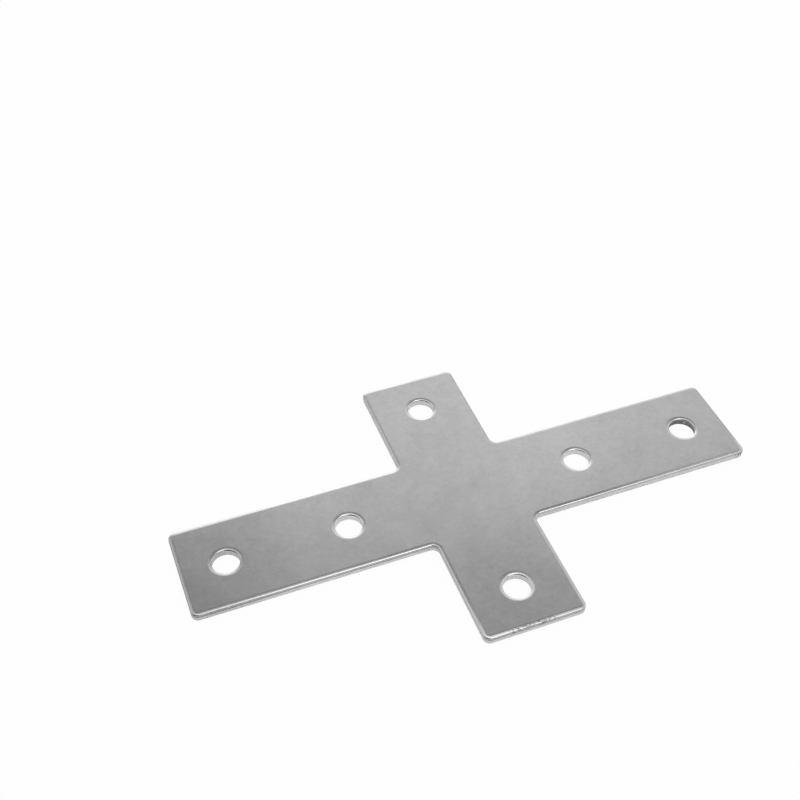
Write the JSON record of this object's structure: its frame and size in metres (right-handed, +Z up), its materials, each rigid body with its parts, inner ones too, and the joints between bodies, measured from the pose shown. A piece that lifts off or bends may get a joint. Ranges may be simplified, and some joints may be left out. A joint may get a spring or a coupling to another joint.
{
  "type": "extrusion joining plate",
  "caption": "Flat cross-shaped plate, punched from steel sheet, with round screw holes along its arms, that joins crossing lengths of slotted framing extrusion.",
  "frame": {"origin": "centre of the cross, on the underside", "axes": "+X along the long arms, +Y along the short arms, +Z up to the face with the rolled edges"},
  "size_m": [0.142, 0.082, 0.002],
  "materials": {
    "plated_steel": "bright plated sheet steel, satin, with rolled, burnished and torn punched edges"
  },
  "bodies": {
    "root": {"cross_plate": "plated_steel"}
  },
  "joints": []
}
